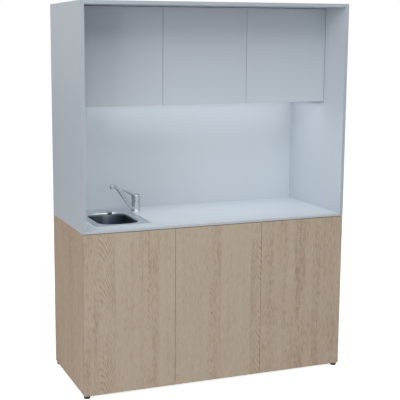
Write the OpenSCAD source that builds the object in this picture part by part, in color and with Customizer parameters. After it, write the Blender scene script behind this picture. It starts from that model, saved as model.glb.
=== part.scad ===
// Kitchenette unit: a wood-fronted base cabinet with a worktop, an inset sink and a mixer tap,
// and a standing frame that carries three wall cupboards and a light over the worktop.
// x is measured from the left face, y from the door fronts towards the wall, z from the floor.
// placed() then centres the plan on the origin.

/* [Unit] */
// Width over the side panels
unit_w = 1500; // [1440:10:1600]
// Depth from the base door fronts to the wall
unit_d = 600; // [590:5:640]
// Height of the carcass above its feet
body_h = 2014; // [1980:2:2100]
// Thickness of the melamine boards
board_t = 18; // [18:1:19]
// Thickness of the compact boards: worktop and splashback
compact_t = 13; // [12:1:14]

/* [Base cabinet] */
// Height of the base cabinet above its feet
base_h = 855; // [845:5:865]
// Gap between neighbouring doors
door_gap = 2; // [1.5:0.25:2.5]
// Gap behind a closed door, which lets a push release its latch
bumper_gap = 2; // [1.5:0.5:3]
// Thickness of the doors
door_t = 18; // [18:1:19]
// Height of the base shelves above the carcass underside
base_shelf_z = 420; // [300:10:520]

/* [Wall cupboards] */
// Height of the cupboards' underside above the carcass underside
cup_z = 1480; // [1460:5:1500]
// How far the wall doors stand back from the frame's front edge
wall_recess = 207; // [195:1:220]
// Height of the wall shelves above the cupboards' underside
wall_shelf_z = 250; // [220:10:300]

/* [Feet] */
// Height of a foot
foot_h = 15; // [12:1:18]
// Radius of a foot
foot_r = 16.5; // [15:0.5:17]

/* [Sink] */
// Left edge of the sink's flange
sink_x = 101; // [95:1:104]
// Front edge of the sink's flange
sink_y = 100; // [95:1:104]
// Width of the flange
flange_w = 312; // [308:1:316]
// Depth of the flange, front to back
flange_d = 465; // [455:1:470]
// Left edge of the bowl, from the flange's left edge
bowl_x = 38; // [36:1:40]
// Front edge of the bowl, from the flange's front edge
bowl_y = 39; // [37:1:41]
// Width of the bowl
bowl_w = 222; // [215:1:225]
// Length of the bowl, front to back
bowl_d = 322; // [315:1:330]
// Depth of the bowl
bowl_h = 150; // [130:5:160]
// Plan radius of the bowl's corners
bowl_r = 70; // [65:1:75]
// Thickness of the pressed steel
steel_t = 1; // [0.8:0.1:1.2]

/* [Tap] */
// Tap axis from the left face
tap_x = 448; // [446:1:454]
// Tap axis from the door fronts
tap_y = 482; // [478:1:486]
// Direction of the spout and lever, as a compass turn from +x
tap_turn = 209; // [200:1:216]
// Reach of the spout to its nozzle
spout_reach = 196; // [192:1:206]
// Height of the nozzle's middle above the worktop
nozzle_z = 160; // [156:1:166]
// Radius of the tap's body
tap_r = 24; // [23:0.5:25]

/* [Hidden] */
$fn = 64;
// Joined solids overlap by e, and cutters run past a face by past
e = 0.01;
past = 1;
// Facets of small round holes
small_fn = 24;
// Play of pieces that slide together, and of pieces that seat in one another
slide_fit = 0.1;
seat_fit = 0.05;

// Colours
c_wood = [0.66, 0.58, 0.48];
c_panel = [0.72, 0.75, 0.79];
c_steel = [0.62, 0.64, 0.66];
c_chrome = [0.80, 0.82, 0.84];
c_black = [0.05, 0.05, 0.05];
c_white = [0.92, 0.92, 0.92];

// Levels above the floor
z_base = foot_h;
z_deck = z_base + base_h;
z_work = z_deck + compact_t;
z_cup = z_base + cup_z;
z_roof = z_base + body_h;

// Depths from the front
y_carcass = door_t + bumper_gap;
y_back = unit_d - compact_t;
back_t = 8;
base_back_y = unit_d - 2 * back_t;
y_wall = wall_recess + door_t + bumper_gap;
splash_x0 = board_t;
splash_x1 = unit_w - board_t;

// Doors: rows are 0 for the base and 1 for the wall cupboards, columns count from the left.
// A door hinges on its left edge where hinge_side is 1, and on its right edge where it is -1.
hinge_side = [1, 1, -1];
lift_gap = 2;
head_gap = 3;
function seam(row, i) = row == 0 ? unit_w * i / 3 : board_t + (unit_w - 2 * board_t) * i / 3;
function end_gap(row) = row == 0 ? 1 : door_gap;
function door_x0(row, i) = seam(row, i) + (i == 0 ? end_gap(row) : door_gap / 2);
function door_x1(row, i) = seam(row, i + 1) - (i == 2 ? end_gap(row) : door_gap / 2);
function door_y(row) = row == 0 ? 0 : wall_recess;
function door_z0(row) = row == 0 ? z_base + lift_gap : z_cup;
function door_z1(row) = row == 0 ? z_deck - head_gap : z_roof - board_t - head_gap;
// Inner faces of a bay: left and right
function bay_x0(row, i) = i == 0 ? board_t : seam(row, i) + board_t / 2;
function bay_x1(row, i) = i == 2 ? unit_w - board_t : seam(row, i + 1) - board_t / 2;

// Hinges: the nearest hinge to a door's end, and the cup in the door's back
hinge_end = 95;
cup_r = 17.5;
cup_deep = 12;
cup_mid = 22.5;
cup_rim = 1.2;
cup_wall = 1;

// Shelves and their pins
pin_r = 2.5;
pin_in = 8;
pin_out = 7;
pin_end_gap = 0.5;
pin_collar = 1;
collar_gap = 0.2;
base_pin_row = 70;
wall_pin_front = 50;
wall_pin_back = 60;
shelf_gap = 1;
shelf_rear_gap = 2;
base_shelf_setback = 40;
wall_shelf_setback = 18;

// Latches
latch_h = 14;
latch_w = 13;
latch_y0 = 7;
latch_len = 58;
latch_drop = 34;
latch_ear = [2.5, 14, 12];
latch_ear_y = 8;
latch_screw_r = 1.8;
plunger_r = 3.5;
plunger_tip_r = 5;
plunger_tip_t = 3;
plunger_gap = 0.3;
plunger_len = 44;
plunger_travel = 3;
run_fit = 0.06;
// Wall screws
anchor_gap = 1200;
anchor_r = 3;
anchor_z = z_roof - 70;

// Light
led_end_gap = 2;
led_x0 = board_t + led_end_gap;
led_x1 = unit_w - board_t - led_end_gap;
led_y = 553;
led_w = 17;
led_h = 12;
led_wall = 1.5;
led_inner = led_w - 2 * led_wall;
led_groove_z = [1 - led_h, 2.4 - led_h];
led_groove_deep = 0.7;
lens_fit = 0.2;
driver_at = [1290, 470];
// Service opening behind the sink
service_x0 = 130;
service_x1 = 390;
service_z0 = 330;
service_z1 = 640;
service_corner = 20;

// Sink in its own frame: origin at the flange's front left corner, z = 0 on the worktop
flange_corner = 14;
bead_in = 4;
bead_w = 9;
bead_h = 3;
deck_z = 1.8;
rim_r = 6;
wall_tilt = 3;
floor_r = 26;
cut_in = 12;
cut_r = 21;
drain_x = bowl_x + bowl_w / 2;
drain_y = bowl_y + bowl_d / 2;
drain_r = 41;
drain_flange_r = 45;
tail_r = 16;
tail_wall = 4;
waste_h = 60;
trap_out = 255;
groove_x = [flange_w - 29, flange_w - 14];
groove_r = 6;
groove_deep = 0.6;
groove_y0 = 58;
groove_y1 = 350;
overflow_x = 186;
overflow_y = 378;
overflow_r = 17;
overflow_deep = 12;
overflow_hole = 12;
overflow_mouth = 26;
overflow_back = 30;
clip_in = 40;
// Tap: a fixed casting with the spout's collar turning round its sleeve and the handle over its dome
collar_z0 = 5;
collar_z1 = 31;
collar_edge = 0.8;
ring_gap = 0.3;
neck_z0 = 52;
neck_z1 = 61;
sleeve_r = 17;
neck_r = 18.5;
cartridge_r = 16;
cartridge_z0 = 44;
carrier_r = 12;
carrier_z0 = 50;
rock_r = 2;
handle_z0 = 61.6;
handle_z1 = 93;
stem_r = 4.2;
pipe_r = 8.5;
pipe_foot = [34, 17];
pipe_knee = [160, 151];
foot_bend = 20;
knee_bend = 34;
bend_lap = 1.5;
bend_step = 0.06;
nozzle_r = 10.5;
nozzle_h = 21;
nozzle_wall = 1.2;
nozzle_up = 1.5;
aerator_in = 8;
hole_r = 17.5;
hose_r = 5;
hose_off = 7;
hose_deep = 50;
// Moves from the cabinet's corner to a plan centred on the origin
module placed() {
  translate([-unit_w / 2, -unit_d / 2, 0]) children();
}

// A board between two corners
module board(x, y, z) {
  translate([x[0], y[0], z[0]]) cube([x[1] - x[0], y[1] - y[0], z[1] - z[0]]);
}

// A rectangle with round corners, its corner at the origin
module rounded(w, d, r) {
  translate([r, 0]) square([w - 2 * r, d]);
  translate([0, r]) square([w, d - 2 * r]);
  for (x = [r, w - r], y = [r, d - r]) translate([x, y]) circle(r);
}

// The same rectangle drawn in by a margin on every side
module inset(w, d, r, m) {
  translate([m, m]) rounded(w - 2 * m, d - 2 * m, r - m);
}

// Carries a profile round a rounded rectangle. The profile's x runs from the centre of the corner
// arcs outwards, so x = r lies on the outline.
module round_path(w, d, r) {
  mid = [w / 2, d / 2];
  for (k = [0:3]) {
    across = k % 2 == 0 ? w : d;
    along = k % 2 == 0 ? d : w;
    translate([mid[0], mid[1], 0]) rotate([0, 0, 90 * k]) translate([-mid_x(k, w, d), -mid_y(k, w, d), 0]) {
      translate([across - r, along - r, 0]) rotate_extrude(angle = 90) children();
      translate([across - r, r, 0]) rotate([90, 0, 0]) mirror([0, 0, 1])
        linear_extrude(along - 2 * r) children();
    }
  }
}
function mid_x(k, w, d) = (k % 2 == 0 ? w : d) / 2;
function mid_y(k, w, d) = (k % 2 == 0 ? d : w) / 2;

function arc(c, r, a0, a1, n) = [for (i = [0:n]) c + r * [cos(a0 + (a1 - a0) * i / n),
  sin(a0 + (a1 - a0) * i / n)]];
function reversed(p) = [for (i = [len(p) - 1:-1:0]) p[i]];

// ---------- Carcass ----------

module pin_holes(row, faces) {
  for (f = faces, y = pin_rows(row)) translate([f, y, pin_z(row)]) rotate([0, 90, 0])
    cylinder(r = pin_r, h = 2 * pin_in, center = true);
}
function pin_rows(row) = row == 0 ? [y_carcass + base_pin_row, base_back_y - base_pin_row]
  : [y_wall + wall_pin_front, y_back - wall_pin_back];
function pin_z(row) = row == 0 ? z_base + base_shelf_z - pin_r : z_cup + wall_shelf_z - pin_r;
module base_side(x0, face) {
  difference() {
    board([x0, x0 + board_t], [y_carcass, unit_d], [z_base, z_deck]);
    if (face > 0) pin_holes(0, [face]);
  }
}

module base_side_left() placed() color(c_wood) base_side(0, 0);
module base_side_right() placed() color(c_wood) base_side(unit_w - board_t, unit_w - board_t);

module base_bottom() placed() color(c_panel)
  board([board_t, unit_w - board_t], [y_carcass, base_back_y], [z_base, z_base + board_t]);

module base_partition(i, faces) {
  x0 = seam(0, i) - board_t / 2;
  difference() {
    board([x0, x0 + board_t], [y_carcass, base_back_y], [z_base + board_t, z_deck]);
    pin_holes(0, faces);
  }
}
module base_partition_left() placed() color(c_panel) base_partition(1, [bay_x0(0, 1)]);
module base_partition_right() placed() color(c_panel)
  base_partition(2, [bay_x1(0, 1), bay_x0(0, 2)]);

// Flat stretchers at the front and upright ones at the back of each bay, under the worktop
module base_rails() placed() color(c_panel) {
  front_w = 84;
  rear_h = 90;
  for (i = [0:2]) {
    x = [bay_x0(0, i), bay_x1(0, i)];
    board(x, [y_carcass, y_carcass + front_w], [z_deck - board_t, z_deck]);
    board(x, [base_back_y - board_t, base_back_y], [z_deck - rear_h, z_deck]);
  }
}

module base_back() placed() color(c_panel) difference() {
  board([board_t, unit_w - board_t], [base_back_y, base_back_y + back_t], [z_base, z_deck]);
  translate([service_x0, base_back_y - past, z_base + service_z0]) rotate([90, 0, 0])
    mirror([0, 0, 1]) linear_extrude(back_t + 2 * past)
      rounded(service_x1 - service_x0, service_z1 - service_z0, service_corner);
}

module shelf(row, i, y) {
  z = pin_z(row) + pin_r;
  board([bay_x0(row, i) + shelf_gap, bay_x1(row, i) - shelf_gap], y, [z, z + board_t]);
}
module base_shelves() placed() color(c_panel)
  for (i = [1:2]) shelf(0, i, [y_carcass + base_shelf_setback, base_back_y - shelf_rear_gap]);
module wall_shelves() placed() color(c_panel)
  for (i = [0:2]) shelf(1, i, [y_wall + wall_shelf_setback, y_back - shelf_rear_gap]);

// A pin with a round shank in the board and a collared rest under the shelf
module shelf_pin() rotate([0, 90, 0]) {
  translate([0, 0, pin_end_gap - pin_in])
    cylinder(r = pin_r - seat_fit, h = pin_in + pin_out - pin_end_gap);
  cylinder(r = pin_r + pin_collar, h = shelf_gap - collar_gap);
}
module shelf_pins() placed() color(c_steel) for (row = [0, 1], i = [1 - row:2], y = pin_rows(row)) {
  translate([bay_x0(row, i), y, pin_z(row)]) shelf_pin();
  translate([bay_x1(row, i), y, pin_z(row)]) mirror([1, 0, 0]) shelf_pin();
}
// Compact board with round-cornered cut-out for the bowl and a hole for the tap
module worktop() placed() color(c_panel) difference() {
  board([splash_x0, splash_x1], [0, y_back], [z_deck, z_work]);
  translate([sink_x, sink_y, z_deck - past]) linear_extrude(compact_t + 2 * past)
    inset(flange_w, flange_d, cut_r + cut_in, cut_in);
  translate([tap_x, tap_y, z_deck - past]) cylinder(r = hole_r, h = compact_t + 2 * past);
}
module frame_side(x0, face) {
  difference() {
    board([x0, x0 + board_t], [0, unit_d], [z_deck, z_roof]);
    pin_holes(1, [face]);
  }
}
module frame_side_left() placed() color(c_panel) frame_side(0, board_t);
module frame_side_right() placed() color(c_panel) frame_side(unit_w - board_t, unit_w - board_t);
module top_panel() placed() color(c_panel)
  board([board_t, unit_w - board_t], [0, unit_d], [z_roof - board_t, z_roof]);

// The splashback runs up behind the cupboards, where two holes take the wall screws
module splashback() placed() color(c_panel) difference() {
  board([splash_x0, splash_x1], [y_back, unit_d], [z_deck, z_roof - board_t]);
  for (s = [-1, 1]) translate([unit_w / 2 + s * anchor_gap / 2, unit_d + past, anchor_z])
    rotate([90, 0, 0]) cylinder(r = anchor_r, h = compact_t + 2 * past);
}

module wall_bottom() placed() color(c_panel)
  board([board_t, unit_w - board_t], [y_wall, y_back], [z_cup, z_cup + board_t]);
module wall_partition(i) {
  x0 = seam(1, i) - board_t / 2;
  difference() {
    board([x0, x0 + board_t], [y_wall, y_back], [z_cup + board_t, z_roof - board_t]);
    pin_holes(1, [bay_x1(1, i - 1), bay_x0(1, i)]);
  }
}
module wall_partition_left() placed() color(c_panel) wall_partition(1);
module wall_partition_right() placed() color(c_panel) wall_partition(2);

// Each foot is a puck under a corner, held by one screw up into each of the two boards
module feet() placed() color(c_black) {
  foot_x = 18;
  foot_y = y_carcass + 4;
  bevel = 1.5;
  for (mx = [0, 1], my = [0, 1])
    translate([mx * unit_w, my * unit_d, 0]) mirror([mx, 0, 0]) mirror([0, my, 0])
      translate([foot_x, foot_y, 0]) {
        rotate_extrude() polygon([[0, 0], [foot_r - bevel, 0], [foot_r, bevel],
          [foot_r, foot_h], [0, foot_h]]);
      }
}

// ---------- Light ----------

// Carries a section along the underside of the cupboards
module led_bar() {
  translate([led_x0, led_y, z_cup]) rotate([90, 0, 90]) linear_extrude(led_x1 - led_x0) children();
}
// A band of the bar's section between two levels below the cupboards
module band(w, z) {
  translate([-w / 2, z[0]]) square([w, z[1] - z[0]]);
}
// Aluminium channel, open downwards, with a groove near its mouth for the diffuser
module led_profile() placed() color("silver") led_bar() difference() {
  band(led_w, [-led_h, 0]);
  band(led_inner, [-led_h - past, -led_wall]);
  band(led_inner + 2 * led_groove_deep, led_groove_z);
}
module led_strip() placed() color(c_white) led_bar() {
  tape = [10, 1.2];
  chips = [3, 0.8];
  band(tape[0], [-led_wall - tape[1], -led_wall]);
  band(chips[0], [-led_wall - tape[1] - chips[1], -led_wall]);
}
// Opal lens whose edges slide into the channel's groove
module led_diffuser() placed() color(c_white) led_bar() union() {
  edge = [led_groove_z[0] + lens_fit / 2, led_groove_z[1] - lens_fit];
  band(led_inner + 2 * led_groove_deep - 2 * lens_fit, edge);
  band(led_inner - 4 * lens_fit, [-led_h, edge[0] + lens_fit / 2]);
}
// Supply of the light, on the floor of the right cupboard, with a screw through each end's foot
module led_driver() placed() color(c_white) translate([driver_at[0], driver_at[1], z_cup + board_t]) {
  size = [160, 42, 24];
  tab = 8;
  tab_t = 3;
  screw_r = 2.2;
  difference() {
    cube(size);
    for (x = [-past, size[0] - tab]) translate([x, -past, tab_t])
      cube([tab + past, size[1] + 2 * past, size[2]]);
    for (x = [tab / 2, size[0] - tab / 2]) translate([x, size[1] / 2, -past])
      cylinder(r = screw_r, h = tab_t + 2 * past);
  }
}
// ---------- Doors, hinges and latches ----------

// Moves to the front outer corner of a door's hinged edge, at one of its two hinges, with x
// running along the door away from the hinge
module at_hinge(row, i, k) {
  s = hinge_side[i];
  x = s > 0 ? door_x0(row, i) : door_x1(row, i);
  z = k == 0 ? door_z0(row) + hinge_end : door_z1(row) - hinge_end;
  translate([x, door_y(row), z]) mirror([s > 0 ? 0 : 1, 0, 0]) children();
}
module door(row, i) placed() color(row == 0 ? c_wood : c_panel) difference() {
  board([door_x0(row, i), door_x1(row, i)], [door_y(row), door_y(row) + door_t],
    [door_z0(row), door_z1(row)]);
  for (k = [0, 1]) at_hinge(row, i, k) translate([cup_mid, door_t + past, 0]) rotate([90, 0, 0])
    cylinder(r = cup_r + seat_fit, h = cup_deep + seat_fit + past);
}
// A pressed cup with a winged rim on the door's inner face
module hinge_cup() {
  lip = 2;
  wings = [14, 52];
  wing_corner = 5;
  screw_at = [9.5, 22.5];
  screw_r = 2;
  inner_r = cup_r - cup_wall;
  translate([cup_mid, door_t, 0]) rotate([-90, 0, 0]) {
    rotate_extrude() polygon([[0, -cup_deep], [cup_r, -cup_deep], [cup_r, cup_rim],
      [inner_r, cup_rim], [inner_r, cup_wall - cup_deep], [0, cup_wall - cup_deep]]);
    difference() {
      linear_extrude(cup_rim) {
        circle(cup_r + lip);
        translate([screw_at[0] - wings[0] / 2, -wings[1] / 2]) rounded(wings[0], wings[1], wing_corner);
      }
      translate([0, 0, -past]) cylinder(r = inner_r, h = cup_rim + 2 * past);
      for (s = [-1, 1]) translate([screw_at[0], s * screw_at[1], -past])
        cylinder(r = screw_r, h = cup_rim + 2 * past);
    }
  }
}
module cups(row, i) placed() color(c_steel) for (k = [0, 1]) at_hinge(row, i, k) hinge_cup();

// The arm is a cranked channel on a cross-shaped plate. face is where the board's face lies,
// in the hinge's own frame, so the crank suits overlay, half overlay and inset doors alike.
module hinge_arm(face) {
  door_clear = 1.3;
  side_clear = 0.5;
  nose_half = 9;
  nose_t = 6;
  arm_w = 14;
  arm_t = 10;
  arm_len = 70;
  crank = [13, 17];
  chamfer = 2;
  wall = 1.5;
  plate_t = 2.5;
  plate = [16, 48];
  plate_corner = 4;
  plate_at = 20;
  wings = [50, 12];
  wing_corner = 5;
  wing_at = 34;
  screw_at = [26, 60];
  screw_r = 3.5;
  screw_h = 1.5;
  start = door_t + cup_rim + door_clear;
  nose = [max(cup_mid - nose_half, face + side_clear), cup_mid + nose_half];
  x0 = face + plate_t;
  x1 = x0 + arm_t;
  end = start + arm_len;
  difference() {
    translate([0, 0, -arm_w / 2]) linear_extrude(arm_w) polygon([[nose[0], start], [nose[1], start],
      [nose[1], start + nose_t], [x1, start + crank[1]], [x1, end - chamfer], [x1 - chamfer, end],
      [x0, end], [x0, start + crank[0]], [nose[0], start + nose_t]]);
    translate([x0 - past, start + crank[1] + past, wall - arm_w / 2])
      cube([arm_t + past - wall, arm_len - crank[1] - past - 2 * wall, arm_w - 2 * wall]);
  }
  translate([face, 0, 0]) rotate([0, 90, 0]) linear_extrude(plate_t) {
    translate([-plate[0] / 2, start + plate_at]) rounded(plate[0], plate[1], plate_corner);
    translate([-wings[0] / 2, start + wing_at]) rounded(wings[0], wings[1], wing_corner);
  }
  for (y = screw_at) translate([x1 - e, start + y, 0]) rotate([0, 90, 0])
    cylinder(r = screw_r, h = screw_h);
}
module hinge_arms(row) placed() color(c_steel) for (i = [0:2], k = [0, 1]) {
  face = hinge_side[i] > 0 ? bay_x0(row, i) - door_x0(row, i) : door_x1(row, i) - bay_x1(row, i);
  at_hinge(row, i, k) hinge_arm(face);
}
module base_hinge_arms() hinge_arms(0);
module wall_hinge_arms() hinge_arms(1);
// Moves to a latch's axis on the board beside the door's free edge, at the door's back face
module at_latch(row, i) {
  s = hinge_side[i];
  x = s > 0 ? bay_x1(row, i) - latch_w / 2 : bay_x0(row, i) + latch_w / 2;
  z = row == 0 ? z_deck - board_t - latch_drop : z_cup + board_t + latch_drop;
  translate([x, door_y(row) + door_t, z]) mirror([s > 0 ? 0 : 1, 0, 0]) children();
}
// A block along the board with two screwed ears, bored for its plunger
module latch_housing() {
  spring_room = 4;
  difference() {
    union() {
      translate([-latch_w / 2, latch_y0, -latch_h / 2]) cube([latch_w, latch_len, latch_h]);
      translate([latch_w / 2 - latch_ear[0], latch_y0 + latch_ear_y, -latch_h / 2 - latch_ear[2]])
        cube([latch_ear[0], latch_ear[1], latch_h + 2 * latch_ear[2]]);
    }
    translate([0, latch_y0 - past, 0]) rotate([-90, 0, 0])
      cylinder(r = plunger_r + run_fit, h = plunger_len + plunger_travel + spring_room);
    for (s = [-1, 1])
      translate([0, latch_y0 + latch_ear_y + latch_ear[1] / 2, s * (latch_h + latch_ear[2]) / 2])
        rotate([0, 90, 0]) cylinder(r = latch_screw_r, h = latch_w);
  }
}
module latch_housings() placed() color(c_white)
  for (row = [0, 1], i = [0:2]) at_latch(row, i) latch_housing();
module plunger(row, i) placed() color(c_white) at_latch(row, i) translate([0, plunger_gap, 0])
  rotate([-90, 0, 0]) {
    cylinder(r = plunger_tip_r, h = plunger_tip_t);
    translate([0, 0, plunger_tip_t - e]) cylinder(r = plunger_r, h = plunger_len - plunger_tip_t);
  }

module base_door_left() door(0, 0);
module base_door_middle() door(0, 1);
module base_door_right() door(0, 2);
module wall_door_left() door(1, 0);
module wall_door_middle() door(1, 1);
module wall_door_right() door(1, 2);
module cups_base_left() cups(0, 0);
module cups_base_middle() cups(0, 1);
module cups_base_right() cups(0, 2);
module cups_wall_left() cups(1, 0);
module cups_wall_middle() cups(1, 1);
module cups_wall_right() cups(1, 2);
module plunger_base_left() plunger(0, 0);
module plunger_base_middle() plunger(0, 1);
module plunger_base_right() plunger(0, 2);
module plunger_wall_left() plunger(1, 0);
module plunger_wall_middle() plunger(1, 1);
module plunger_wall_right() plunger(1, 2);

// ---------- Sink ----------

module at_sink() placed() translate([sink_x, sink_y, z_work]) children();

// Section of the bowl's wall: over the rolled rim, down the tilted side and round to the floor
function bowl_side(t) = concat(
  arc([bowl_r + rim_r, deck_z - rim_r], rim_r - t, 90, 180 - wall_tilt, 9),
  arc(floor_mid(), floor_r + t, -wall_tilt, -90, 12));
function floor_mid() = let (
    drop = bowl_h + deck_z - floor_r - rim_r,
    start = [bowl_r + rim_r, deck_z - rim_r] + rim_r * [-cos(wall_tilt), sin(wall_tilt)],
    low = deck_z - bowl_h + floor_r,
    run = (start[1] - low + floor_r * sin(wall_tilt)) * tan(wall_tilt))
  [start[0] - run - floor_r * cos(wall_tilt), low];
floor_in = bowl_r - floor_mid()[0];

module bowl_section() polygon(concat(bowl_side(0), reversed(bowl_side(steel_t))));
module in_bowl() translate([bowl_x, bowl_y, 0]) children();
module bowl() in_bowl() {
  round_path(bowl_w, bowl_d, bowl_r) bowl_section();
  translate([0, 0, deck_z - bowl_h - steel_t]) linear_extrude(steel_t)
    inset(bowl_w, bowl_d, bowl_r, floor_in);
}
// Raised bead round the flange: a thin lip outside, a rounded crest and the deck inside it
module bead_section() {
  lip_t = 0.8;
  slope = 3;
  root = 2;
  top = flange_corner - bead_in;
  foot = top - bead_w;
  under = bead_h - 1.4;
  polygon([[flange_corner, 0], [flange_corner, lip_t], [top, bead_h], [foot + slope, bead_h],
    [foot, deck_z], [foot, deck_z - steel_t], [foot + root, under], [top - steel_t, under],
    [flange_corner - root, 0]]);
}
module deck_plate() translate([0, 0, deck_z - steel_t]) linear_extrude(steel_t) difference() {
  inset(flange_w, flange_d, flange_corner, bead_in + bead_w);
  translate([bowl_x - rim_r, bowl_y - rim_r]) rounded(bowl_w + 2 * rim_r, bowl_d + 2 * rim_r,
    bowl_r + rim_r);
}
// Bowl, bead and deck are one pressing, with grooves along the ledge and a dish that drains the
// ledge into the bowl and holds the overflow
module sink() at_sink() color(c_steel) {
  dish_z = deck_z - overflow_deep;
  difference() {
    union() {
      bowl();
      round_path(flange_w, flange_d, flange_corner) bead_section();
      deck_plate();
      translate([overflow_x, overflow_y, dish_z - steel_t])
        cylinder(r = overflow_r + steel_t, h = overflow_deep + steel_t);
    }
    translate([overflow_x, overflow_y, dish_z]) cylinder(r = overflow_r, h = overflow_deep + past);
    translate([overflow_x, overflow_y, dish_z - steel_t - past])
      cylinder(r = overflow_hole, h = steel_t + 2 * past);
    for (x = groove_x) groove(x);
    translate([drain_x, drain_y, deck_z - bowl_h - steel_t - past])
      cylinder(r = drain_r, h = steel_t + 2 * past);
    translate([overflow_x - overflow_mouth / 2, bowl_y + bowl_d - overflow_back, dish_z])
      cube([overflow_mouth, overflow_y - bowl_y - bowl_d + overflow_back, overflow_deep + past]);
  }
}
// A shallow groove along the right ledge
module groove(x) translate([x, groove_y0, deck_z + groove_r - groove_deep]) rotate([-90, 0, 0])
  cylinder(r = groove_r, h = groove_y1 - groove_y0);

module sink_seal() at_sink() color(c_black) {
  seal_t = 0.6;
  seal_in = [bead_in + 1, bead_in + bead_w - 2];
  linear_extrude(seal_t) difference() {
    inset(flange_w, flange_d, flange_corner, seal_in[0]);
    inset(flange_w, flange_d, flange_corner, seal_in[1]);
  }
}
// Angle clips that hang from the flange and hook under the worktop
module sink_clips() at_sink() color(c_steel) {
  clip_w = 16;
  hook = [5, 20];
  leg_t = 2;
  for (x = [bowl_x + clip_in, bowl_x + bowl_w - clip_in], s = [0, 1])
    translate([x - clip_w / 2, s * flange_d, 0]) mirror([0, s, 0]) {
      board([0, clip_w], hook, [-compact_t - leg_t, -compact_t]);
      board([0, clip_w], [hook[1] - leg_t, hook[1]], [-compact_t - leg_t, deck_z - steel_t]);
    }
}

module at_drain() at_sink() translate([drain_x, drain_y, deck_z - bowl_h]) children();

// The waste's seat in the bowl floor, tapering to a plain tail
module waste_fitting() at_drain() color(c_chrome) {
  fit_r = drain_r - slide_fit;
  tail_out = tail_r + tail_wall;
  body_z = -6;
  neck = [39, -16];
  neck_z = -34;
  lip_t = 1.5;
  crest = [42, 1.8];
  seat = [36, -10];
  throat_z = -32;
  rotate_extrude() polygon([[tail_r, -waste_h], [tail_out, -waste_h], [tail_out, neck_z], neck,
    [fit_r, body_z], [fit_r, 0], [drain_flange_r, 0], [drain_flange_r, lip_t], crest, seat,
    [tail_r, throat_z]]);
}
// Basket strainer: a perforated dish with a rim over the seat and a knob, which lifts out
module waste_basket() at_drain() color(c_chrome) {
  hole_n = 10;
  small_r = 2.5;
  ring_r = 15;
  sheet = 1;
  pan = [24, -20];
  hip = [36.5, -3];
  rest = [40.5, 1.9];
  rim = [43.5, 2.7];
  stem = [5, 4];
  knob = [9, 7];
  knob_edge = 9;
  knob_top = 10;
  inside = [pan[0] - sheet / 2, pan[1] + sheet];
  difference() {
    rotate_extrude() polygon([[0, pan[1]], pan, hip, rest, [rim[0], rest[1]], rim,
      [rest[0] - sheet, rim[1]], [hip[0] - sheet, hip[1] + sheet], inside, [stem[0], inside[1]],
      stem, knob, [knob[0], knob_edge], [0, knob_top]]);
    for (k = [0:hole_n - 1]) rotate([0, 0, 360 * k / hole_n])
      translate([ring_r, 0, pan[1] - past])
        cylinder(r = small_r, h = sheet + 2 * past, $fn = small_fn);
  }
}
// Outlet in the overflow dish: a tube with a shoulder below the steel and a grate of three bars
module overflow_elbow() at_sink() color(c_black) {
  tube_r = overflow_hole - slide_fit;
  tube_wall = 2.9;
  tube_z = [-24, 1.5];
  shoulder = [overflow_hole + 3, 8];
  bar = [1.6, 19, 1.2];
  bar_gap = 5;
  translate([overflow_x, overflow_y, deck_z - overflow_deep]) {
    difference() {
      union() {
        translate([0, 0, tube_z[0]]) cylinder(r = tube_r, h = tube_z[1] - tube_z[0]);
        translate([0, 0, -shoulder[1] - steel_t]) cylinder(r = shoulder[0], h = shoulder[1]);
      }
      translate([0, 0, tube_z[0] + tube_wall]) cylinder(r = tube_r - tube_wall, h = tube_z[1] - tube_z[0]);
    }
    for (x = [-bar_gap, 0, bar_gap]) translate([x - bar[0] / 2, -bar[1] / 2, 0]) cube(bar);
  }
}
// Bottle trap: inlet tube inside the waste's tail, union nut, bottle with its screwed cup, and an
// outlet towards the wall
module bottle_trap() at_drain() color(c_white) {
  tube_r = tail_r - slide_fit;
  tube_wall = 2;
  tube_z = [-110, 12];
  nut = [tail_r + 9, 18];
  nut_drop = 8;
  bottle = [34, -78, -190];
  cup = [36, -150, -178];
  cup_ring = [39, -132];
  shoulder = [24, -66];
  out_r = 20;
  out_wall = 2.5;
  out_z = -95;
  out_nut = [27, 20];
  out_nut_y = 30;
  base_r = 30;
  translate([0, 0, -waste_h]) difference() {
    union() {
      translate([0, 0, tube_z[0]]) cylinder(r = tube_r, h = tube_z[1] - tube_z[0]);
      translate([0, 0, -nut_drop]) cylinder(r = nut[0], h = nut[1]);
      rotate_extrude() polygon([[0, bottle[2]], [base_r, bottle[2]], [cup[0], cup[2]],
        [cup[0], cup[1]], [cup_ring[0], cup[1]], cup_ring, [bottle[0], cup_ring[1]],
        [bottle[0], bottle[1]], shoulder, [0, shoulder[1]]]);
      translate([0, 0, out_z]) rotate([-90, 0, 0]) cylinder(r = out_r, h = trap_out);
      translate([0, out_nut_y, out_z]) rotate([-90, 0, 0]) cylinder(r = out_nut[0], h = out_nut[1]);
    }
    // room for the waste's tail inside the nut
    difference() {
      cylinder(r = tail_r + tail_wall + slide_fit, h = nut[1] + past);
      translate([0, 0, -past]) cylinder(r = tube_r, h = nut[1] + 3 * past);
    }
    translate([0, 0, bottle[2] + 2 * tube_wall + tail_r]) cylinder(r = tube_r - tube_wall, h = -bottle[2]);
    translate([0, 0, out_z]) rotate([-90, 0, 0]) cylinder(r = out_r - out_wall, h = trap_out + past);
  }
}
// ---------- Tap ----------

// Tap frame: z = 0 on the worktop, x towards the bowl
module at_tap() placed() translate([tap_x, tap_y, z_work]) rotate([0, 0, tap_turn]) children();

// Ring between the worktop and the spout's collar
module tap_base_ring() at_tap() color(c_chrome) {
  foot = [tap_r + 1.5, 2];
  top = collar_z0 - ring_gap;
  difference() {
    rotate_extrude() polygon([[0, 0], [foot[0], 0], foot, [tap_r, top], [0, top]]);
    translate([0, 0, -past]) cylinder(r = sleeve_r + slide_fit, h = collar_z0 + 2 * past);
  }
}
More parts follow.
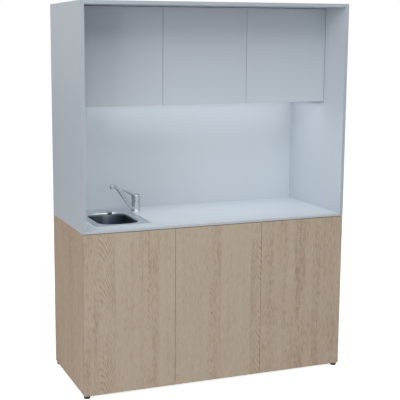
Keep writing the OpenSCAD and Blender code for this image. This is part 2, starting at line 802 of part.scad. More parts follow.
// Fixed casting: sleeve inside the spout's collar, barrel, recessed neck and dome, bored for the
// cartridge and the two hoses
module tap_body() at_tap() color(c_chrome) {
  barrel_z0 = collar_z1 + ring_gap;
  neck_edge = 1;
  dome_h = 16;
  difference() {
    union() {
      rotate_extrude() polygon([[0, 0], [sleeve_r, 0], [sleeve_r, barrel_z0],
        [tap_r - collar_edge, barrel_z0], [tap_r, barrel_z0 + collar_edge],
        [tap_r, neck_z0 - neck_edge], [tap_r - neck_edge, neck_z0], [neck_r, neck_z0],
        [neck_r, neck_z1], [0, neck_z1]]);
      translate([0, 0, neck_z1]) intersection() {
        sphere(r = neck_r);
        cylinder(r = neck_r, h = dome_h);
      }
    }
    translate([0, 0, cartridge_z0]) cylinder(r = cartridge_r, h = 2 * neck_r);
    for (s = [-1, 1]) translate([0, s * hose_off, -past]) cylinder(r = hose_r, h = hose_deep);
  }
}
// Fixed sleeve of the cartridge
module tap_cartridge() at_tap() color(c_white) {
  height = 26;
  difference() {
    translate([0, 0, cartridge_z0]) cylinder(r = cartridge_r - seat_fit, h = height);
    translate([0, 0, carrier_z0]) cylinder(r = carrier_r + run_fit, h = height);
  }
}
// Turning part of the cartridge, slotted for the lever's stem, with the rocking pin across it
module tap_carrier() at_tap() color(c_steel) {
  lift = 0.2;
  height = 19.5;
  slot_gap = 0.3;
  slot_z = 54;
  pin_half = 11;
  difference() {
    translate([0, 0, carrier_z0 + lift]) cylinder(r = carrier_r, h = height);
    translate([-carrier_r - past, -stem_r - slot_gap, slot_z])
      cube([2 * carrier_r + 2 * past, 2 * (stem_r + slot_gap), height]);
  }
  translate([0, -pin_half, neck_z1]) rotate([-90, 0, 0]) cylinder(r = rock_r, h = 2 * pin_half);
}
// Handle casting: hollow cup over the dome, flat lever rising towards the bowl, and its stem
module tap_lever() at_tap() color(c_chrome) {
  hollow_r = neck_r + 2.2;
  hollow_z = handle_z0 + 17;
  edge = [[0, 5], [2, 2], [6, 0]];
  crown = 1;
  stem_z = neck_z1 - 4;
  stem_h = 24;
  difference() {
    union() {
      rotate_extrude() polygon(concat([[0, handle_z0], [tap_r, handle_z0]],
        [for (p = edge) [tap_r - p[0], handle_z1 - p[1]]], [[0, handle_z1 + crown]]));
      lever_arm();
    }
    intersection() {
      translate([0, 0, neck_z1]) sphere(r = hollow_r);
      translate([0, 0, handle_z0 - past]) cylinder(r = hollow_r, h = hollow_z - handle_z0 + past);
    }
  }
  difference() {
    translate([0, 0, stem_z]) cylinder(r = stem_r, h = stem_h);
    translate([0, -2 * stem_r, neck_z1]) rotate([-90, 0, 0])
      cylinder(r = rock_r + run_fit, h = 4 * stem_r);
  }
}
// The lever narrows and thins from the cup through its waist to the tip: pairs of balls at
// [x, half width, height, radius] are joined into one blade
module lever_arm() hull() {
  stations = [[2, 9.6, handle_z1 - 8, 5.5], [40, 8, handle_z1 + 6, 4], [97, 4.8, handle_z1 + 34, 2.8]];
  for (p = stations, s = [-1, 1]) translate([p[0], s * p[1], p[2]]) sphere(r = p[3], $fn = 32);
}
// Spout: swivelling collar, a pipe that leaves it level, bends up to a knee, and a short gently
// rising run into the nozzle, faced off level with the nozzle's mouth
module tap_spout() at_tap() color(c_chrome) {
  pipe_end = [spout_reach, nozzle_z + nozzle_up];
  rise = atan2(pipe_knee[1] - pipe_foot[1], pipe_knee[0] - pipe_foot[0]);
  level = atan2(pipe_end[1] - pipe_knee[1], pipe_end[0] - pipe_knee[0]);
  foot_back = foot_bend * tan(rise / 2);
  knee_back = knee_bend * tan((rise - level) / 2);
  root = 20;
  difference() {
    union() {
      rotate_extrude() polygon([[0, collar_z0], [tap_r - collar_edge, collar_z0],
        [tap_r, collar_z0 + collar_edge], [tap_r, collar_z1 - collar_edge],
        [tap_r - collar_edge, collar_z1], [0, collar_z1]]);
      pipe([pipe_foot[0] - root, pipe_foot[1]], 0, root - foot_back);
      bend(pipe_foot, 0, rise, foot_bend);
      pipe(pipe_foot + foot_back * heading(rise), rise,
        norm(pipe_knee - pipe_foot) - foot_back - knee_back);
      bend(pipe_knee, rise, level, knee_bend);
      pipe(pipe_knee + knee_back * heading(level), level,
        norm(pipe_end - pipe_knee) - knee_back);
      nozzle();
    }
    translate([0, 0, -past]) cylinder(r = sleeve_r + run_fit, h = collar_z1 + 2 * past);
    translate([spout_reach, 0, nozzle_z - nozzle_h / 2]) {
      translate([0, 0, -past]) cylinder(r = nozzle_r - nozzle_wall, h = aerator_in + 2 * past);
      translate([0, 0, -pipe_r]) cylinder(r = nozzle_r + past, h = pipe_r);
    }
  }
}
function heading(a) = [cos(a), sin(a)];
// A straight pipe from a point in the tap's plane, at an angle to the worktop
module pipe(from, angle, length) {
  translate([from[0], 0, from[1]]) rotate([0, 90 - angle, 0]) cylinder(r = pipe_r, h = length);
}
// An arc of pipe round a corner of its path, from one angle to the other. It is a hair thinner
// than the straight runs and reaches a little way into both.
module bend(corner, a, b, r) {
  side = b > a ? 1 : -1;
  start = corner - r * tan(abs(b - a) / 2) * heading(a);
  mid = start + side * r * [-sin(a), cos(a)];
  translate([mid[0], 0, mid[1]]) rotate([90, 0, 0])
    rotate([0, 0, min(a, b) - 90 * side - bend_lap])
      rotate_extrude(angle = abs(b - a) + 2 * bend_lap) translate([r, 0])
        circle(pipe_r - bend_step);
}
module nozzle() translate([spout_reach, 0, nozzle_z]) {
  half = nozzle_h / 2;
  edge = 0.6;
  crown_r = 8;
  rotate_extrude() polygon(concat([[0, -half], [nozzle_r - edge, -half], [nozzle_r, -half + edge]],
    arc([nozzle_r - crown_r, half - crown_r], crown_r, 0, 90, 6), [[0, half]]));
}
// Aerator with one middle jet and a ring of six round it
module tap_aerator() at_tap() color(c_steel) {
  proud = 3;
  jets = 6;
  jet_r = 1.8;
  mid_r = 2.4;
  ring_r = 5.5;
  cut_h = proud + aerator_in + 3 * past;
  translate([spout_reach, 0, nozzle_z - nozzle_h / 2]) difference() {
    union() {
      translate([0, 0, -proud]) cylinder(r = nozzle_r - nozzle_wall / 2, h = proud);
      translate([0, 0, -past]) cylinder(r = nozzle_r - nozzle_wall - seat_fit, h = aerator_in + past);
    }
    for (k = [0:jets - 1]) rotate([0, 0, 360 * k / jets]) translate([ring_r, 0, -proud - past])
      cylinder(r = jet_r, h = cut_h, $fn = small_fn);
    translate([0, 0, -proud - past]) cylinder(r = mid_r, h = cut_h, $fn = small_fn);
  }
}
// Threaded tail under the worktop, with its washer and nut and the two hose sockets
module tap_shank() at_tap() color(c_steel) {
  tail = 62;
  shank_r = 16;
  washer = [24, 3];
  nut = [22, 10];
  difference() {
    union() {
      translate([0, 0, -tail]) cylinder(r = shank_r, h = tail);
      translate([0, 0, -compact_t - washer[1]]) cylinder(r = washer[0], h = washer[1]);
      translate([0, 0, -compact_t - washer[1] - nut[1]]) cylinder(r = nut[0], h = nut[1], $fn = 6);
    }
    for (s = [-1, 1]) translate([0, s * hose_off, -tail - past])
      cylinder(r = hose_r, h = tail + 2 * past);
  }
}
base_side_left();
base_side_right();
base_bottom();
base_partition_left();
base_partition_right();
base_rails();
base_back();
base_shelves();
worktop();
frame_side_left();
frame_side_right();
top_panel();
splashback();
wall_bottom();
wall_partition_left();
wall_partition_right();
wall_shelves();
shelf_pins();
led_profile();
led_strip();
led_diffuser();
led_driver();
feet();
base_hinge_arms();
wall_hinge_arms();
latch_housings();
base_door_left();
base_door_middle();
base_door_right();
wall_door_left();
wall_door_middle();
wall_door_right();
cups_base_left();
cups_base_middle();
cups_base_right();
cups_wall_left();
cups_wall_middle();
cups_wall_right();
plunger_base_left();
plunger_base_middle();
plunger_base_right();
plunger_wall_left();
plunger_wall_middle();
plunger_wall_right();
sink();
sink_seal();
sink_clips();
waste_fitting();
waste_basket();
overflow_elbow();
bottle_trap();
tap_base_ring();
tap_body();
tap_cartridge();
tap_carrier();
tap_lever();
tap_spout();
tap_aerator();
tap_shank();
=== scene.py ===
"""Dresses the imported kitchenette: camera, soft studio light, materials and small edge rounds."""

import math

import bpy
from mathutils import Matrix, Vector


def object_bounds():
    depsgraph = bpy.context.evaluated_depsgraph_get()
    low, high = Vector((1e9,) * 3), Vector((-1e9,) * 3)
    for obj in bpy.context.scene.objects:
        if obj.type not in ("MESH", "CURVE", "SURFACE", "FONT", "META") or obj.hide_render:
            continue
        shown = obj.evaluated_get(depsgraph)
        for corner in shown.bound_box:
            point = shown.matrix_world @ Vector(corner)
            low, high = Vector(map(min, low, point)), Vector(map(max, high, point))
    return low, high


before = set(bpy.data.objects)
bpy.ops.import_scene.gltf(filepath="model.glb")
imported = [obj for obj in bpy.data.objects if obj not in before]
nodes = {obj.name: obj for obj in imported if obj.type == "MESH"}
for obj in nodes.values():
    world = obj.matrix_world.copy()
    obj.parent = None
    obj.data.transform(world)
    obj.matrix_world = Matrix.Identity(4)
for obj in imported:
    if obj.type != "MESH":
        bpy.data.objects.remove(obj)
bounds_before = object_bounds()
HALF_W, HALF_D = bounds_before[1][0], bounds_before[1][1]

scene = bpy.context.scene
scene.view_settings.view_transform = "Standard"

# ---------- Camera, at the photograph's viewing angle ----------

FOCAL = 83.057  # mm on a 36 mm wide sensor
SHIFT = (0.12005, -0.0424)
CAMERA_AT = (-1.9956, -4.6745, 1.8342)
CAMERA_DOWN = math.radians(8.778)
CAMERA_RIGHT = math.radians(20.25)

camera_data = bpy.data.cameras.new("photo_camera")
camera_data.sensor_width = 36
camera_data.lens = FOCAL
camera_data.shift_x, camera_data.shift_y = SHIFT
camera_data.clip_start = 0.05
camera_data.clip_end = 200
camera = bpy.data.objects.new("photo_camera", camera_data)
camera.location = CAMERA_AT
camera.rotation_euler = (math.pi / 2 - CAMERA_DOWN, 0, -CAMERA_RIGHT)
scene.collection.objects.link(camera)
scene.camera = camera


# ---------- Colour and node helpers ----------

def linear(red, green, blue):
    """An RGBA colour from 8-bit display values."""
    def one(v):
        v /= 255
        return v / 12.92 if v <= 0.04045 else ((v + 0.055) / 1.055) ** 2.4
    return (one(red), one(green), one(blue), 1)


def shaded(colour, share):
    """The colour at that share of its brightness, at most white."""
    return tuple(min(1, c * share) for c in colour[:3]) + (1,)


class Graph:
    """Adds nodes to a material or a shader group and links them."""

    def __init__(self, tree):
        self.tree = tree

    def add(self, kind, _props=None, **inputs):
        node = self.tree.nodes.new(kind)
        for name, value in (_props or {}).items():
            setattr(node, name, value)
        for name, value in inputs.items():
            self.put(node, name, value)
        return node

    def put(self, node, name, value):
        key = int(name[1:]) if name[0] == "i" and name[1:].isdigit() else name.replace("_", " ")
        socket = node.inputs[key]
        if isinstance(value, bpy.types.NodeSocket):
            self.tree.links.new(value, socket)
        else:
            socket.default_value = value

    def math(self, operation, *values):
        node = self.add("ShaderNodeMath", {"operation": operation})
        for k, value in enumerate(values):
            self.put(node, f"i{k}", value)
        return node.outputs[0]

    def blend(self, mask, a, b):
        """Colour a where the mask is 0 and b where it is 1."""
        node = self.tree.nodes.new("ShaderNodeMix")
        node.data_type = "RGBA"
        self.put(node, "i0", mask)
        self.put(node, "i6", a)
        self.put(node, "i7", b)
        return node.outputs[2]

    def noise(self, vector, scale, detail=2.0, rough=0.5, distortion=0.0):
        node = self.add("ShaderNodeTexNoise", Vector=vector, Scale=scale, Detail=detail,
                        Roughness=rough, Distortion=distortion)
        return node.outputs[0]

    def stretch(self, vector, x, y, z):
        node = self.add("ShaderNodeVectorMath", {"operation": "MULTIPLY"})
        self.put(node, "i0", vector)
        self.put(node, "i1", (x, y, z))
        return node.outputs[0]

    def remap(self, value, low, high, to_low=0.0, to_high=1.0):
        node = self.add("ShaderNodeMapRange", {"interpolation_type": "SMOOTHSTEP"})
        for k, v in enumerate((value, low, high, to_low, to_high)):
            self.put(node, f"i{k}", v)
        return node.outputs[0]

    def level(self, value, low, high):
        """0 at low and 1 at high, with a straight line between."""
        node = self.add("ShaderNodeMapRange", i0=value, i1=low, i2=high)
        return node.outputs[0]

    def steps(self, value, stops):
        """A ramp that jumps from one set of four values to the next at each stop."""
        node = self.add("ShaderNodeValToRGB", Fac=value)
        ramp = node.color_ramp
        ramp.interpolation = "CONSTANT"
        while len(ramp.elements) < len(stops):
            ramp.elements.new(1.0)
        for element, (at, values) in zip(ramp.elements, stops):
            element.position = at
        for element, (at, values) in zip(ramp.elements, stops):
            element.color = values
        return node


def group(name, inputs, outputs, build):
    """A shader group: build gets the graph and the input sockets and returns the output values."""
    tree = bpy.data.node_groups.new(name, "ShaderNodeTree")
    for label, kind, default in inputs:
        socket = tree.interface.new_socket(label, in_out="INPUT", socket_type=kind)
        if default is not None:
            socket.default_value = default
    for label, kind in outputs:
        tree.interface.new_socket(label, in_out="OUTPUT", socket_type=kind)
    source = tree.nodes.new("NodeGroupInput")
    result = tree.nodes.new("NodeGroupOutput")
    graph = Graph(tree)
    for socket, value in zip(result.inputs, build(graph, source.outputs)):
        tree.links.new(value, socket)
    return tree


COLOUR, VALUE, VECTOR = "NodeSocketColor", "NodeSocketFloat", "NodeSocketVector"

# ---------- Oak decor ----------

SHEET_W = 1.5  # the printed sheet that the boards are cut from, one stave beside the other
MOST_BEND = 100.0  # arches' bends are kept in the ramp as shares of this, around one half
RING_RATE = 190.0  # radians of growth ring per metre along the grain
RING_WANDER = 0.10  # metres that a ring is pushed along the grain by the warp
STAVE_STEP = 7.0  # metres between the figures of two staves of different tone

# How much darker rings, blotches and saw marks make the wood, and how much an arched stave is
# lightened to make up for its rings
RING_DARK, RING_LIFT, BLOT_DARK, MARK_LIGHT = 0.85, 0.22, 0.52, 0.50

# Where each stave begins, how dark it is, how strongly it shows arches, blotches and saw marks,
# the middle of its arches and how sharply they bend
STAVES = (
    (0.000, 0.40, 0.10, 0.25, 0.0, 0.00, 20), (0.080, 0.30, 1.00, 0.20, 0.0, 0.08, 25),
    (0.165, 0.10, 0.10, 0.10, 0.1, 0.10, 20), (0.250, 0.20, 0.10, 0.35, 0.0, 0.20, 20),
    (0.340, 0.28, 0.55, 0.80, 0.0, 0.34, 45), (0.408, 0.08, 0.00, 0.10, 0.5, 0.40, 10),
    (0.500, 0.10, 0.10, 0.20, 0.0, 0.50, 15), (0.600, 0.16, 0.10, 0.15, 0.0, 0.60, 15),
    (0.698, 0.28, 0.60, 0.85, 0.0, 0.70, 45), (0.761, 0.06, 0.00, 0.10, 0.0, 0.76, 10),
    (0.850, 0.02, 0.00, 0.10, 0.0, 0.85, 10), (0.935, 0.36, 0.90, 0.45, 0.6, 1.00, -40),
    (1.000, 0.34, 0.10, 0.25, 0.0, 1.00, 15), (1.140, 0.36, 0.15, 0.50, 1.0, 1.14, 20),
    (1.205, 0.56, 0.20, 0.90, 1.0, 1.21, 30), (1.269, 0.40, 0.10, 0.25, 0.0, 1.30, 12),
)


def oak_build(g, given):
    """Oak decor: staves side by side, growth rings as nested arches, flecks, pores and saw marks.

    u runs across the grain on any upright face, being x + y, and z runs along it. An arch's height
    falls off with the square of its distance from the middle of the arches.
    """
    place, start, light, mid, dark = given[0], given[1], given[2], given[3], given[4]
    part = g.add("ShaderNodeSeparateXYZ", Vector=place)
    x, y, z = part.outputs[0], part.outputs[1], part.outputs[2]
    u = g.math("WRAP", g.math("ADD", g.math("ADD", x, y), start), SHEET_W, 0.0)
    share = g.math("DIVIDE", u, SHEET_W)
    kind = g.steps(share, [(s[0] / SHEET_W, s[1:5]) for s in STAVES])
    look = g.add("ShaderNodeSeparateColor", Color=kind.outputs["Color"])
    tone, arched, blotched, sawn = *look.outputs[:3], kind.outputs["Alpha"]
    bow = g.steps(share, [(s[0] / SHEET_W, (s[5] / SHEET_W, 0.5 + s[6] / MOST_BEND, 0.0, 1.0))
                          for s in STAVES])
    bent = g.add("ShaderNodeSeparateColor", Color=bow.outputs["Color"])
    off = g.math("SUBTRACT", u, g.math("MULTIPLY", bent.outputs[0], SHEET_W))
    bend = g.math("MULTIPLY_ADD", bent.outputs[1], MOST_BEND, -0.5 * MOST_BEND)
    along = g.math("MULTIPLY_ADD", tone, STAVE_STEP, z)
    shifted = g.add("ShaderNodeCombineXYZ", X=u, Y=start, Z=along)
    v = shifted.outputs[0]
    warp = g.noise(g.stretch(v, 9, 1, 2.2), 1.0, 3.0)
    arch = g.math("MULTIPLY", g.math("MULTIPLY", off, off), bend)
    phase = g.math("ADD", g.math("ADD", z, arch), g.math("MULTIPLY", warp, RING_WANDER))
    rings = g.math("SINE", g.math("MULTIPLY", phase, RING_RATE))
    ring = g.remap(rings, -0.2, 1.0)
    fade = g.remap(g.noise(g.stretch(v, 8, 1, 2.6), 1.0, 1.0), 0.32, 0.52)
    band = g.noise(g.stretch(v, 34, 1, 1.1), 1.0, 4.0, 0.55, 0.4)
    cloud = g.noise(g.stretch(v, 13, 1, 3.2), 1.0, 2.0)
    blot = g.remap(g.noise(g.stretch(v, 30, 1, 4.5), 1.0, 2.0, 0.55, 0.7), 0.44, 0.70)
    fleck = g.noise(g.stretch(v, 115, 1, 27), 1.0, 3.0, 0.6)
    pore = g.remap(g.noise(g.stretch(v, 480, 1, 16), 1.0, 2.0, 0.6), 0.58, 0.74)
    fibre = g.noise(g.stretch(v, 900, 1, 22), 1.0, 2.0, 0.5)
    saw = g.remap(g.noise(g.stretch(v, 14, 1, 130), 1.0, 2.0, 0.6), 0.46, 0.62)
    patch = g.remap(g.noise(g.stretch(v, 12, 1, 5.0), 1.0, 1.0), 0.46, 0.62)
    marks = g.math("MULTIPLY", g.math("MULTIPLY", saw, patch), sawn)
    ringed = g.math("MULTIPLY", g.math("MULTIPLY", ring, fade), arched)
    plain_tone = g.math("SUBTRACT", tone, g.math("MULTIPLY", arched, RING_LIFT))
    darkness = g.math("MULTIPLY_ADD", ringed, RING_DARK, plain_tone)
    for value, weight, middle in ((band, 1.10, 0.55), (cloud, 0.80, 0.40), (fleck, 2.80, 1.40),
                                  (fibre, 0.30, 0.15), (pore, 0.22, 0.0)):
        darkness = g.math("ADD", darkness, g.math("MULTIPLY_ADD", value, weight, -middle))
    spotted = g.math("MULTIPLY", blot, blotched)
    darkness = g.math("ADD", darkness, g.math("MULTIPLY", spotted, BLOT_DARK))
    darkness = g.math("SUBTRACT", darkness, g.math("MULTIPLY", marks, MARK_LIGHT))
    base = g.blend(g.level(darkness, -0.1, 0.5), light, mid)
    colour = g.blend(g.level(darkness, 0.5, 1.1), base, dark)
    height = g.math("SUBTRACT", g.math("MULTIPLY", fibre, 0.3), pore)
    gloss = g.math("ADD", g.math("MULTIPLY", pore, 0.10), g.math("MULTIPLY", fibre, 0.08))
    return colour, height, gloss


oak_group = group(
    "oak_decor",
    [("Place", VECTOR, None), ("Start", VALUE, 0.0), ("Light", COLOUR, None), ("Mid", COLOUR, None),
     ("Dark", COLOUR, None)],
    [("Color", COLOUR), ("Height", VALUE), ("Gloss", VALUE)], oak_build)


def fine_build(g, given):
    """The fine even texture of a pressed or moulded skin, with a trace of cloudiness."""
    place, grain = given[0], given[1]
    fine = g.add("ShaderNodeTexNoise", Vector=place, Scale=grain, Detail=3.0, Roughness=0.6)
    cloud = g.noise(place, 3.1, 3.0)
    return fine.outputs[0], cloud


fine_group = group("fine_texture", [("Place", VECTOR, None), ("Grain", VALUE, 900.0)],
                   [("Fine", VALUE), ("Cloud", VALUE)], fine_build)

# ---------- Materials ----------



def material(name, metallic=0.0, roughness=0.5, specular=0.5):
    """A new material with its graph, its shader and the object's own coordinates."""
    made = bpy.data.materials.new(name)
    made.use_nodes = True
    graph = Graph(made.node_tree)
    shader = made.node_tree.nodes["Principled BSDF"]
    shader.inputs["Metallic"].default_value = metallic
    shader.inputs["Roughness"].default_value = roughness
    shader.inputs["Specular IOR Level"].default_value = specular
    place = graph.add("ShaderNodeTexCoord").outputs["Object"]
    return made, graph, shader, place


def bump(graph, shader, height, distance, strength=1.0):
    """Relief from the height value, at most that distance deep."""
    node = graph.add("ShaderNodeBump", Strength=strength, Distance=distance, Height=height)
    graph.put(shader, "Normal", node.outputs[0])


def oak(name, start, light, mid, dark):
    """Oak-decor melamine; start is the place on the sheet that u = 0 falls on."""
    made, g, shader, place = material(name, roughness=0.5, specular=0.3)
    wood = g.tree.nodes.new("ShaderNodeGroup")
    wood.node_tree = oak_group
    for key, value in (("Place", place), ("Start", start), ("Light", light), ("Mid", mid),
                       ("Dark", dark)):
        g.put(wood, key, value)
    g.put(shader, "Base Color", wood.outputs[0])
    g.put(shader, "Roughness", g.math("ADD", wood.outputs[2], 0.42))
    bump(g, shader, wood.outputs[1], 0.00008, 0.5)
    return made


FRONT_FROM, FRONT_TO = -0.5, -0.9  # the normal's y between which a face turns into a front edge, which takes the painted front shade


def skin(name, colour, roughness, grain, depth, metallic=0.0, edge=None):
    """A skin with fine texture, a slight drift of tone and, where given, a painted shade on the
    faces turned to the front.
    """
    made, g, shader, place = material(name, metallic, roughness)
    texture = g.tree.nodes.new("ShaderNodeGroup")
    texture.node_tree = fine_group
    g.put(texture, "Place", place)
    g.put(texture, "Grain", grain)
    tone = g.blend(texture.outputs[1], shaded(colour, 0.97), colour)
    if edge:
        normal = g.add("ShaderNodeTexCoord").outputs["Normal"]
        facing = g.add("ShaderNodeSeparateXYZ", Vector=normal).outputs[1]
        # Faces turned to the front take the edge colour, which is painted shade
        tone = g.blend(g.level(facing, FRONT_FROM, FRONT_TO), tone, edge)
    g.put(shader, "Base Color", tone)
    g.put(shader, "Roughness", g.math("MULTIPLY_ADD", texture.outputs[0], 0.08, roughness - 0.04))
    bump(g, shader, texture.outputs[0], depth, 0.4)
    return made


def brushed(name, colour, roughness, along, fine=700.0, depth=0.00002):
    """Metal with the fine parallel marks of a brush; along holds the stretch of the marks."""
    made, g, shader, place = material(name, 1.0, roughness)
    marks = g.noise(g.stretch(place, *along), fine, 3.0, 0.65)
    smear = g.noise(place, 14.0, 3.0)
    g.put(shader, "Base Color", g.blend(marks, shaded(colour, 0.9), colour))
    g.put(shader, "Roughness", g.math("ADD", g.math("MULTIPLY_ADD", marks, 0.10, roughness - 0.08),
                                      g.math("MULTIPLY", smear, 0.06)))
    bump(g, shader, marks, depth, 0.5)
    return made


RIM_Z, ROLL_DEPTH = 0.885, 0.02  # the flange's tone gives way to the bowl's painted shade from this height, over this depth
PAINTED_REFLECTION_X, PAINTED_REFLECTION_HALF = -0.482, 0.040  # middle and half width of the painted reflection, a soft lighter band on the bowl's wall


def pressed_steel(name, rim_colour, bowl_shade_colour):
    """Sink steel: satin on the flange, and smoother down in the drawn bowl, whose colour is darker
    as painted shade and holds one soft lighter band as a painted reflection."""
    made, g, shader, place = material(name, 1.0, 0.3)
    part = g.add("ShaderNodeSeparateXYZ", Vector=place)
    down = g.remap(part.outputs[2], RIM_Z, RIM_Z - ROLL_DEPTH)
    beside = g.math("ABSOLUTE", g.math("SUBTRACT", part.outputs[0], PAINTED_REFLECTION_X))
    painted_reflection = g.remap(beside, PAINTED_REFLECTION_HALF, 0.0)
    satin = g.noise(g.stretch(place, 1, 0.06, 1), 420.0, 3.0, 0.6)
    smear = g.noise(place, 9.0, 3.0)
    rim = g.blend(satin, shaded(rim_colour, 0.94), rim_colour)
    # The bowl's darker colour is painted shade, a painted reflection of its dark surroundings
    wall = g.blend(g.remap(smear, 0.3, 0.7), shaded(bowl_shade_colour, 0.8), bowl_shade_colour)
    # One soft lighter band on the bowl's wall is a painted reflection
    bowl = g.blend(painted_reflection, wall, shaded(bowl_shade_colour, 2.2))
    g.put(shader, "Base Color", g.blend(down, rim, bowl))
    g.put(shader, "Roughness", g.math("ADD", g.math("MULTIPLY_ADD", down, -0.10, 0.40),
                                      g.math("MULTIPLY", satin, 0.05)))
    return made


def glowing(name, colour, strength):
    """A surface that gives off its own light."""
    made, _, shader, _ = material(name, roughness=0.6)
    shader.inputs["Base Color"].default_value = colour
    shader.inputs["Emission Color"].default_value = colour
    shader.inputs["Emission Strength"].default_value = strength
    return made


GREY = linear(175, 183, 191)
# The second grey is painted shade: it darkens the front faces of the frame sides and the top panel
GREY_FRONT_SHADE = linear(160, 168, 176)
# The compact's second colour is painted shade: it darkens the worktop's front face
COMPACT, COMPACT_FRONT_SHADE = linear(193, 201, 208), linear(173, 178, 184)
finish = {
    "grey": skin("grey_melamine", GREY, 0.42, 1400.0, 0.00004),
    "grey_front_shaded": skin("melamine_front_shade", GREY, 0.42, 1400.0, 0.00004, edge=GREY_FRONT_SHADE),
    "compact": skin("compact_laminate", COMPACT, 0.34, 2200.0, 0.00002),
    "compact_front_shaded": skin("compact_front_shade", COMPACT, 0.34, 2200.0, 0.00002, edge=COMPACT_FRONT_SHADE),
    # The second colour, the bowl's, is painted shade
    "sink_steel": pressed_steel("sink_steel", linear(222, 226, 230), linear(122, 132, 144)),
    "chrome": skin("tap_chrome", linear(192, 197, 202), 0.40, 900.0, 0.000001, metallic=1.0),
    "nickel": brushed("nickel_steel", linear(178, 178, 174), 0.32, (1, 1, 0.1)),
    "black": skin("black_plastic", linear(20, 20, 21), 0.45, 1500.0, 0.00005),
    "rubber": skin("black_rubber", linear(16, 16, 16), 0.7, 900.0, 0.00005),
    "white": skin("white_plastic", linear(226, 226, 224), 0.38, 1500.0, 0.00004),
    "aluminium": brushed("led_aluminium", linear(190, 192, 195), 0.35, (0.02, 1, 1)),
    "light": glowing("led_light", linear(255, 252, 246), 6.0),
    "opal": glowing("led_opal", linear(250, 251, 252), 3.0),
    "grey_plastic": skin("grey_plastic", linear(143, 145, 148), 0.5, 1500.0, 0.00004),
}

dress = {
    "grey": """base_bottom base_partition_left base_partition_right base_rails base_back
        base_shelves wall_bottom wall_partition_left wall_partition_right wall_shelves
        wall_door_left wall_door_middle wall_door_right""",
    "grey_front_shaded": "frame_side_left frame_side_right top_panel",
    "compact": "splashback",
    "compact_front_shaded": "worktop",
    "sink_steel": "sink waste_fitting waste_basket",
    "chrome": "tap_base_ring tap_body tap_lever tap_spout",
    "nickel": """shelf_pins base_hinge_arms wall_hinge_arms cups_base_left cups_base_middle
        cups_base_right cups_wall_left cups_wall_middle cups_wall_right sink_clips tap_carrier
        tap_shank""",
    "black": "feet overflow_elbow",
    "rubber": "sink_seal",
    "white": """led_driver latch_housings plunger_base_left plunger_base_middle
        plunger_base_right plunger_wall_left plunger_wall_middle plunger_wall_right bottle_trap
        tap_cartridge""",
    "aluminium": "led_profile",
    "light": "led_strip",
    "opal": "led_diffuser",
    "grey_plastic": "tap_aerator",
}
for key, names in dress.items():
    for name in names.split():
        nodes[name].data.materials.clear()
        nodes[name].data.materials.append(finish[key])

FRONT_OAK = linear(174, 160, 144), linear(167, 151, 133), linear(148, 130, 112)
SIDE_OAK = linear(173, 154, 134), linear(167, 147, 126), linear(147, 126, 105)
OAK_BOARDS = {
    "base_door_left": (HALF_W + HALF_D, FRONT_OAK),
    "base_door_middle": (HALF_W + HALF_D, FRONT_OAK),
    "base_door_right": (HALF_W + HALF_D, FRONT_OAK),
    "base_side_left": (HALF_W + HALF_D + 1.0, SIDE_OAK),
    "base_side_right": (HALF_D - HALF_W + 0.35, SIDE_OAK),
}
for name, (start, tones) in OAK_BOARDS.items():
    nodes[name].data.materials.clear()
    nodes[name].data.materials.append(oak("oak_" + name, start, *tones))

# Boards get the small round that edge banding leaves. The splashback stays as it is, because
# rounding its edges leaves slanting lines across its back
EDGE_ROUND = 0.0008
JOIN_WITHIN = 0.00001
SHARP_FROM = math.radians(40)
BOARDS = """base_side_left base_side_right base_door_left base_door_middle base_door_right
    frame_side_left frame_side_right top_panel wall_door_left wall_door_middle wall_door_right
    worktop wall_bottom base_shelves wall_shelves"""
for name in BOARDS.split():
    weld = nodes[name].modifiers.new("join", "WELD")
    weld.merge_threshold = JOIN_WITHIN
    edge = nodes[name].modifiers.new("edge_round", "BEVEL")
    edge.width = EDGE_ROUND
    edge.segments = 2
    edge.limit_method = "ANGLE"
    edge.angle_limit = SHARP_FROM

# ---------- Studio ----------

world = bpy.data.worlds.new("studio")
scene.world = world
world.use_nodes = True
sky = Graph(world.node_tree)
background = world.node_tree.nodes["Background"]
AMBIENT = 0.20  # the world's strength as light; to the camera and in reflections it is 1
seen = sky.add("ShaderNodeLightPath")
plain = sky.math("MAXIMUM", seen.outputs["Is Camera Ray"], seen.outputs["Is Glossy Ray"])
plain = sky.math("MAXIMUM", plain, seen.outputs["Is Transmission Ray"])
background.inputs["Color"].default_value = (1, 1, 1, 1)
sky.put(background, "Strength", sky.math("MULTIPLY_ADD", plain, 1 - AMBIENT, AMBIENT))


def lamp(name, at, target, size, power):
    """A soft lamp of that width and height that looks at the target."""
    data = bpy.data.lights.new(name, "AREA")
    data.shape = "RECTANGLE"
    data.size, data.size_y = size
    data.energy = power
    made = bpy.data.objects.new(name, data)
    away = [a - t for a, t in zip(at, target)]
    flat = math.hypot(away[0], away[1])
    made.location = at
    made.rotation_euler = (math.atan2(flat, away[2]), 0, math.atan2(away[0], -away[1]))
    scene.collection.objects.link(made)
    return made


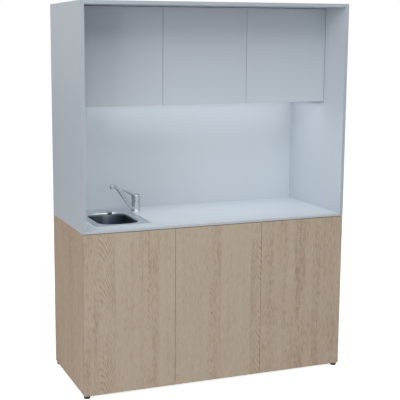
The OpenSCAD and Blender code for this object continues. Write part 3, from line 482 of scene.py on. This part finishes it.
lamp("softbox_over", at=(-1.08, -4.68, 7.48), target=(0, 0, 1.0), size=(5.4, 5.4), power=394)
lamp("softbox_low", at=(0.6, -6.5, 0.9), target=(0, 0, 0.7), size=(3.0, 2.0), power=13)
lamp("softbox_left", at=(-13.3, -7.9, 3.9), target=(0, 0, 1.0), size=(7.6, 7.6), power=1080)

# Two weak lamps stand for the light that bounces about in the niche, from its front and its left
FILL_X, FILL_Z, SIDE_Y, SIDE_Z = 0.05, 1.2, 0.02, 1.18
niche_fill = lamp("niche_fill", at=(FILL_X, -0.31, FILL_Z), target=(FILL_X, 0.3, FILL_Z),
                  size=(1.35, 0.5), power=0.6)
niche_side = lamp("niche_side", at=(-0.70, SIDE_Y, SIDE_Z), target=(0.7, SIDE_Y, SIDE_Z),
                  size=(0.45, 0.5), power=0.45)

# A third one stands for the light bar's glow on the worktop
LED_X, LED_Y, LED_Z = 0.14, 0.08, 1.482
wash = lamp("led_wash", at=(LED_X, LED_Y, LED_Z), target=(LED_X, LED_Y, 0), size=(1.16, 0.30),
            power=1.3)
for hidden in (wash, niche_fill, niche_side):
    hidden.visible_camera = False
    hidden.visible_glossy = False

FLOOR_HALF = 40  # metres, so that its edge lies past the horizon of every view
CORNERS = (-1, -1), (1, -1), (1, 1), (-1, 1)
FLOOR_GLOW = 0.82  # brings the lit paper to white for the camera and leaves the shadow

floor_mesh = bpy.data.meshes.new("floor")
spread = [(x * FLOOR_HALF, y * FLOOR_HALF, 0) for x, y in CORNERS]
floor_mesh.from_pydata(spread, [], [(0, 1, 2, 3)])
floor = bpy.data.objects.new("floor", floor_mesh)
scene.collection.objects.link(floor)
paper, g, shader, _ = material("floor_paper", roughness=0.9, specular=0.1)
shader.inputs["Base Color"].default_value = linear(242, 242, 242)
path = g.add("ShaderNodeLightPath")
shader.inputs["Emission Color"].default_value = (1, 1, 1, 1)
g.put(shader, "Emission Strength", g.math("MULTIPLY", path.outputs["Is Camera Ray"], FLOOR_GLOW))
floor.data.materials.append(paper)
